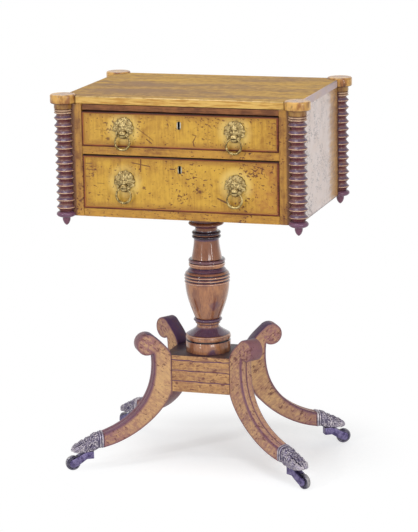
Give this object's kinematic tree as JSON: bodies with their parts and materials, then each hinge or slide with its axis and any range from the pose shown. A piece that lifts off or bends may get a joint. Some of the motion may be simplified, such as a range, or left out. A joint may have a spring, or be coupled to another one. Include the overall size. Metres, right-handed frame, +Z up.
{
  "type": "work table",
  "caption": "Small work table with drawers in a case on ring-turned corner columns, lion-mask ring pulls, a turned pedestal and reeded sabre legs with paw caps on casters.",
  "frame": {"origin": "on the floor under the middle of the pedestal", "axes": "+Z up, +X to the right along the front, the drawers open towards -Y"},
  "size_m": [0.496, 0.352, 0.73],
  "materials": {
    "figured_maple": "old shellac over golden figured maple, satin gloss",
    "top_maple": "worn tan varnish with streaks along the grain",
    "red_rail": "reddish stained rail, satin",
    "dark_turning": "dark stained ring turnings with glossy crests",
    "dark_bead": "dark red-brown cockbead, satin",
    "pedestal_maple": "reddish brown polished turning",
    "leg_maple": "tan maple, worn varnish",
    "inside_pine": "bare aged pine",
    "mount_brass": "aged stamped brass with dark recesses",
    "paw_brass": "dull grey tarnished cast brass",
    "caster_brass": "dark tarnished cast brass",
    "lock_brass": "pale worn brass"
  },
  "bodies": {
    "root": {"top_board": "top_maple", "left_side": "figured_maple", "right_side": "figured_maple", "front_left_stile": "figured_maple", "front_right_stile": "figured_maple", "front_middle_rail": "figured_maple", "front_bottom_rail": "figured_maple", "front_top_rail": "red_rail", "back_panel": "inside_pine", "bottom_board": "inside_pine", "left_drawer_guide": "inside_pine", "right_drawer_guide": "inside_pine", "front_left_column": "dark_turning", "front_right_column": "dark_turning", "back_left_column": "dark_turning", "back_right_column": "dark_turning", "pedestal": "pedestal_maple", "platform": "leg_maple", "front_left_leg": "leg_maple", "front_right_leg": "leg_maple", "back_left_leg": "leg_maple", "back_right_leg": "leg_maple", "front_left_paw_cap": "paw_brass", "front_right_paw_cap": "paw_brass", "back_left_paw_cap": "paw_brass", "back_right_paw_cap": "paw_brass"},
    "upper_drawer": {"upper_drawer_front": "figured_maple", "upper_drawer_left_side": "inside_pine", "upper_drawer_right_side": "inside_pine", "upper_drawer_back": "inside_pine", "upper_drawer_bottom": "inside_pine", "upper_drawer_cockbead": "dark_bead", "upper_drawer_lock": "lock_brass", "upper_left_lion_mask": "mount_brass", "upper_right_lion_mask": "mount_brass"},
    "upper_left_ring": {"upper_left_ring_pull": "mount_brass"},
    "upper_right_ring": {"upper_right_ring_pull": "mount_brass"},
    "lower_drawer": {"lower_drawer_front": "figured_maple", "lower_drawer_left_side": "inside_pine", "lower_drawer_right_side": "inside_pine", "lower_drawer_back": "inside_pine", "lower_drawer_bottom": "inside_pine", "lower_drawer_cockbead": "dark_bead", "lower_drawer_lock": "lock_brass", "lower_left_lion_mask": "mount_brass", "lower_right_lion_mask": "mount_brass"},
    "lower_left_ring": {"lower_left_ring_pull": "mount_brass"},
    "lower_right_ring": {"lower_right_ring_pull": "mount_brass"},
    "front_left_caster": {"front_left_caster_horn": "caster_brass", "front_left_caster_axle": "caster_brass"},
    "front_left_wheel": {"front_left_caster_wheel": "caster_brass"},
    "front_right_caster": {"front_right_caster_horn": "caster_brass", "front_right_caster_axle": "caster_brass"},
    "front_right_wheel": {"front_right_caster_wheel": "caster_brass"},
    "back_left_caster": {"back_left_caster_horn": "caster_brass", "back_left_caster_axle": "caster_brass"},
    "back_left_wheel": {"back_left_caster_wheel": "caster_brass"},
    "back_right_caster": {"back_right_caster_horn": "caster_brass", "back_right_caster_axle": "caster_brass"},
    "back_right_wheel": {"back_right_caster_wheel": "caster_brass"}
  },
  "joints": [
    {"name": "upper_drawer_slide", "type": "slide", "parent": "root", "child": "upper_drawer", "axis": [0, -1, 0], "range_m": [0, 0.22]},
    {"name": "upper_left_ring_hinge", "type": "hinge", "parent": "upper_drawer", "child": "upper_left_ring", "pos_m": [-0.107, -0.1625, 0.65895], "axis": [-1, 0, 0], "range_deg": [0, 95]},
    {"name": "upper_right_ring_hinge", "type": "hinge", "parent": "upper_drawer", "child": "upper_right_ring", "pos_m": [0.107, -0.1625, 0.65895], "axis": [-1, 0, 0], "range_deg": [0, 95]},
    {"name": "lower_drawer_slide", "type": "slide", "parent": "root", "child": "lower_drawer", "axis": [0, -1, 0], "range_m": [0, 0.22]},
    {"name": "lower_left_ring_hinge", "type": "hinge", "parent": "lower_drawer", "child": "lower_left_ring", "pos_m": [-0.107, -0.1625, 0.55945], "axis": [-1, 0, 0], "range_deg": [0, 95]},
    {"name": "lower_right_ring_hinge", "type": "hinge", "parent": "lower_drawer", "child": "lower_right_ring", "pos_m": [0.107, -0.1625, 0.55945], "axis": [-1, 0, 0], "range_deg": [0, 95]},
    {"name": "front_left_caster_swivel", "type": "hinge", "parent": "root", "child": "front_left_caster", "pos_m": [-0.20212, -0.13126, 0.0355], "axis": [0, 0, 1], "continuous": true},
    {"name": "front_left_wheel_spin", "type": "hinge", "parent": "front_left_caster", "child": "front_left_wheel", "pos_m": [-0.2298, -0.14923, 0.0145], "axis": [0.5446, -0.8387, 0], "continuous": true},
    {"name": "front_right_caster_swivel", "type": "hinge", "parent": "root", "child": "front_right_caster", "pos_m": [0.20212, -0.13126, 0.0355], "axis": [0, 0, 1], "continuous": true},
    {"name": "front_right_wheel_spin", "type": "hinge", "parent": "front_right_caster", "child": "front_right_wheel", "pos_m": [0.2298, -0.14923, 0.0145], "axis": [0.5446, 0.8387, 0], "continuous": true},
    {"name": "back_left_caster_swivel", "type": "hinge", "parent": "root", "child": "back_left_caster", "pos_m": [-0.20212, 0.13126, 0.0355], "axis": [0, 0, 1], "continuous": true},
    {"name": "back_left_wheel_spin", "type": "hinge", "parent": "back_left_caster", "child": "back_left_wheel", "pos_m": [-0.2298, 0.14923, 0.0145], "axis": [-0.5446, -0.8387, 0], "continuous": true},
    {"name": "back_right_caster_swivel", "type": "hinge", "parent": "root", "child": "back_right_caster", "pos_m": [0.20212, 0.13126, 0.0355], "axis": [0, 0, 1], "continuous": true},
    {"name": "back_right_wheel_spin", "type": "hinge", "parent": "back_right_caster", "child": "back_right_wheel", "pos_m": [0.2298, 0.14923, 0.0145], "axis": [-0.5446, 0.8387, 0], "continuous": true}
  ]
}
